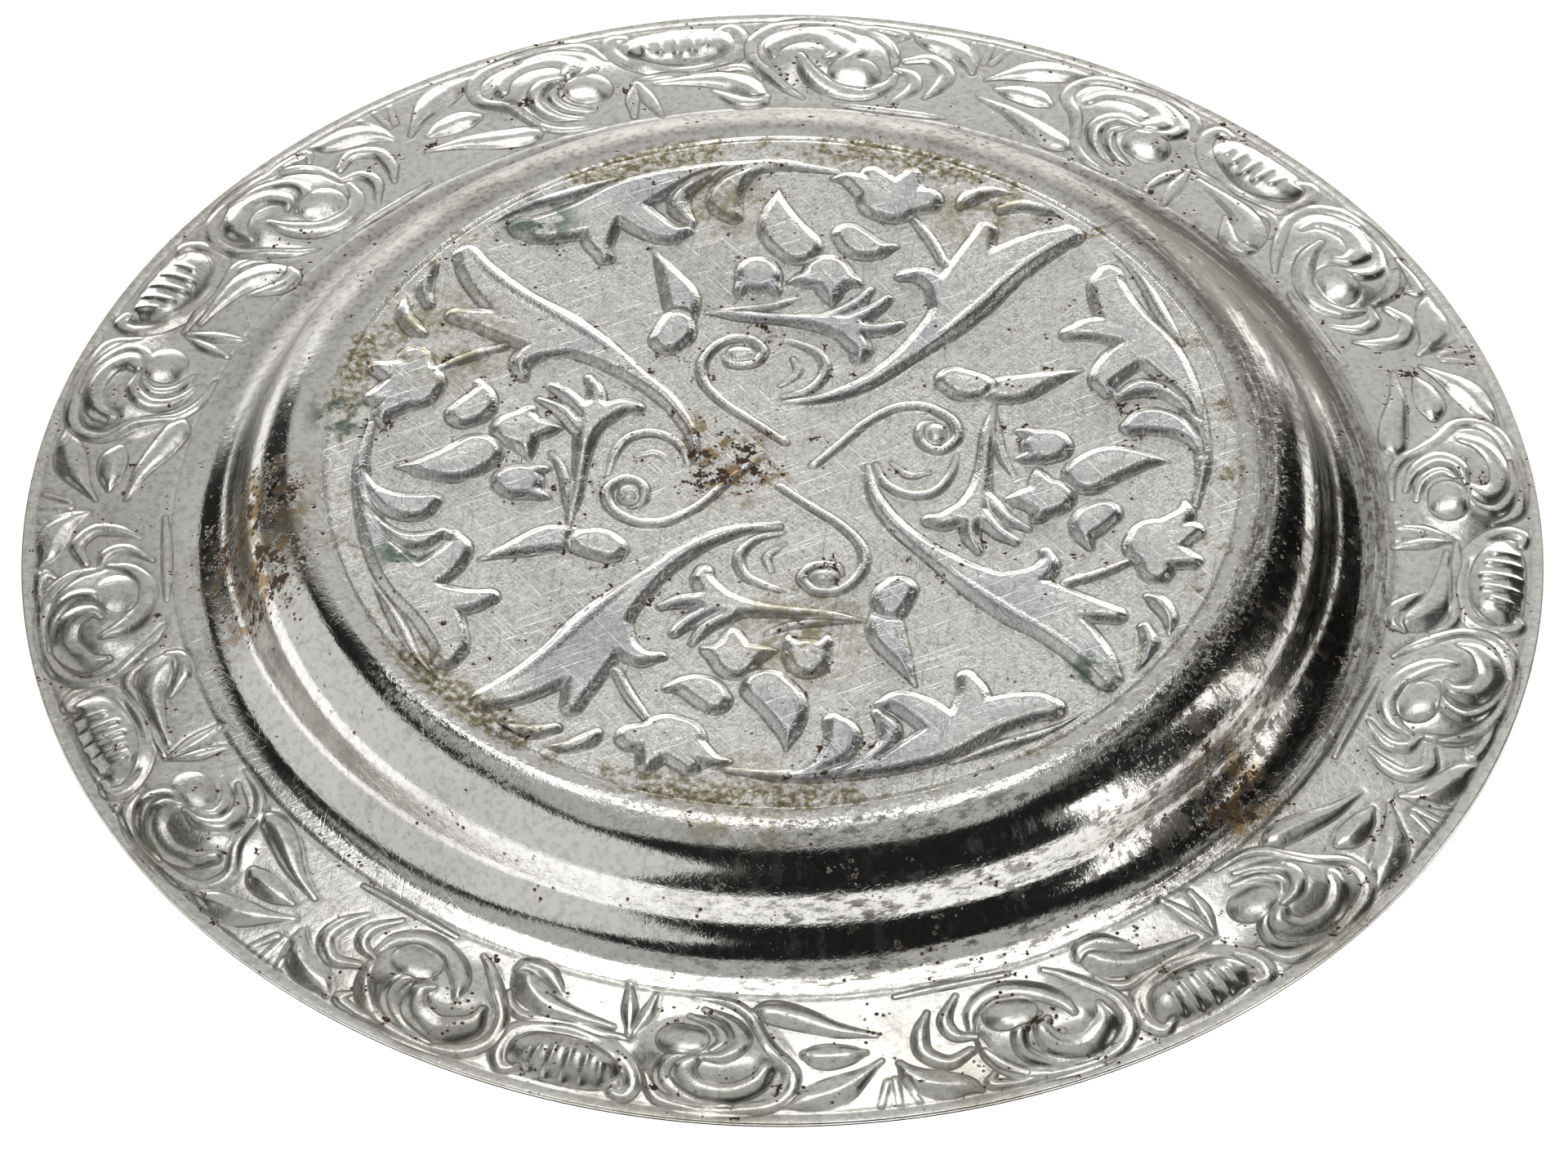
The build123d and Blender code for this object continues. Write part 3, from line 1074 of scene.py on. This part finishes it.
def panel(name, azimuth, elevation, distance, width, height, radiance):
    """A flat light that faces the plate, as bright as given from everywhere."""
    lamp = bpy.data.lights.new(name, "AREA")
    lamp.shape = "RECTANGLE"
    lamp.size = width
    lamp.size_y = height
    lamp.energy = radiance * math.pi * width * height
    stand = bpy.data.objects.new(name, lamp)
    way = direction(azimuth, elevation)
    stand.location = way * distance
    stand.rotation_euler = way.to_track_quat("Z", "Y").to_euler()
    stand.visible_camera = False
    bpy.context.collection.objects.link(stand)


# name, azimuth, elevation, distance and size in metres, brightness
PANELS = [
    ("left_wall_light", -108, 26, 2.6, 5.6, 3.3, 0.62),
    ("far_wall_light", 2, 34, 2.6, 2.9, 1.8, 0.50),
    ("far_low_light", 2, 7, 2.55, 3.2, 0.80, 4.2),
    ("window_light", 84, 20, 2.6, 0.35, 2.1, 2.4),
    ("door_light", 116, 16, 2.6, 0.50, 1.8, 2.2),
    ("ceiling_light", 0, 86, 2.4, 2.2, 1.8, 0.42),
    ("key_light", 0, 62, 2.35, 0.80, 0.55, 2.2),
]


def pale_table(tint):
    """White tabletop that glows a little, so that it reads as bright as the room."""
    finish = Finish("pale_table")
    place = finish.add("ShaderNodeTexCoord", None, None, output=3)
    tone = finish.noise(place, 3.0, 2.0) * 0.02 + 0.98
    colour_now = finish.add(
        "ShaderNodeMix", {"data_type": "RGBA", "blend_type": "MULTIPLY"},
        {0: 1.0, 6: opaque(tint), 7: tone}, output=2,
    )
    shader = finish.add("ShaderNodeBsdfPrincipled", None, {
        "Base Color": colour_now,
        "Roughness": 0.8,
        "Emission Color": opaque(tint),
        "Emission Strength": TABLE_GLOW,
    })
    finish.add("ShaderNodeOutputMaterial", None, {"Surface": shader})
    return finish.material


class PLATE_OT_studio(bpy.types.Operator):
    """Lay the tabletop and set up the lights and the camera"""

    bl_idname = "plate.studio"
    bl_label = "Studio"

    def execute(self, context):
        studio = context.scene.plate_studio
        mesh = bpy.data.meshes.new("tabletop")
        signs = ((-1, -1), (1, -1), (1, 1), (-1, 1))
        corners = [(x * TABLE_HALF, y * TABLE_HALF, 0) for x, y in signs]
        mesh.from_pydata(corners, [], [(0, 1, 2, 3)])
        table = bpy.data.objects.new("tabletop", mesh)
        context.collection.objects.link(table)
        mesh.materials.append(pale_table(studio.floor))

        for name, azimuth, elevation, distance, width, height, radiance in PANELS:
            panel(name, azimuth, elevation, distance, width, height, radiance * studio.daylight)

        world = bpy.data.worlds.new("studio_air")
        world.use_nodes = True
        background = world.node_tree.nodes["Background"]
        background.inputs["Color"].default_value = (1, 1, 1, 1)
        background.inputs["Strength"].default_value = AIR_GLOW
        context.scene.world = world

        lens = bpy.data.cameras.new("camera")
        lens.lens = studio.lens
        lens.sensor_width = 36.0
        lens.clip_start = 0.05
        camera = bpy.data.objects.new("camera", lens)
        context.collection.objects.link(camera)
        aim = Vector(AIM) * PLATE_RADIUS + Vector((0, 0, AIM_HEIGHT * MM))
        way = direction(180, math.degrees(studio.elevation))
        camera.location = aim + way * studio.distance
        camera.rotation_euler = way.to_track_quat("Z", "Y").to_euler()
        context.scene.camera = camera
        context.scene.view_settings.view_transform = "Standard"
        return {"FINISHED"}


# ---- panel and start ----

OPERATORS = (PLATE_OT_rim, PLATE_OT_wall, PLATE_OT_centre, PLATE_OT_studio)
GROUPS = {"plate_sizes": PlateSizes, "plate_finish": PlateFinish, "plate_studio": PlateStudio}


class PLATE_PT_panel(bpy.types.Panel):
    """Lists the plate's pieces, sizes and colours"""

    bl_idname = "PLATE_PT_panel"
    bl_label = "Offering plate"
    bl_space_type = "VIEW_3D"
    bl_region_type = "UI"
    bl_category = "Plate"

    def draw(self, context):
        column = self.layout.column()
        for group in GROUPS:
            settings = getattr(context.scene, group)
            for key in settings.__annotations__:
                column.prop(settings, key)
        for operator in OPERATORS:
            column.operator(operator.bl_idname)


def register():
    """Adds the classes, and their settings to the scene."""
    for one in (*GROUPS.values(), *OPERATORS, PLATE_PT_panel):
        bpy.utils.register_class(one)
    for name, group in GROUPS.items():
        setattr(bpy.types.Scene, name, bpy.props.PointerProperty(type=group))


def unregister():
    """Takes them away again."""
    for name in GROUPS:
        delattr(bpy.types.Scene, name)
    for one in (PLATE_PT_panel, *OPERATORS, *GROUPS.values()):
        bpy.utils.unregister_class(one)


def main():
    """Builds everything in order."""
    register()
    bpy.ops.plate.rim()
    bpy.ops.plate.wall()
    bpy.ops.plate.centre()
    bpy.ops.plate.studio()


if __name__ == "__main__":
    main()
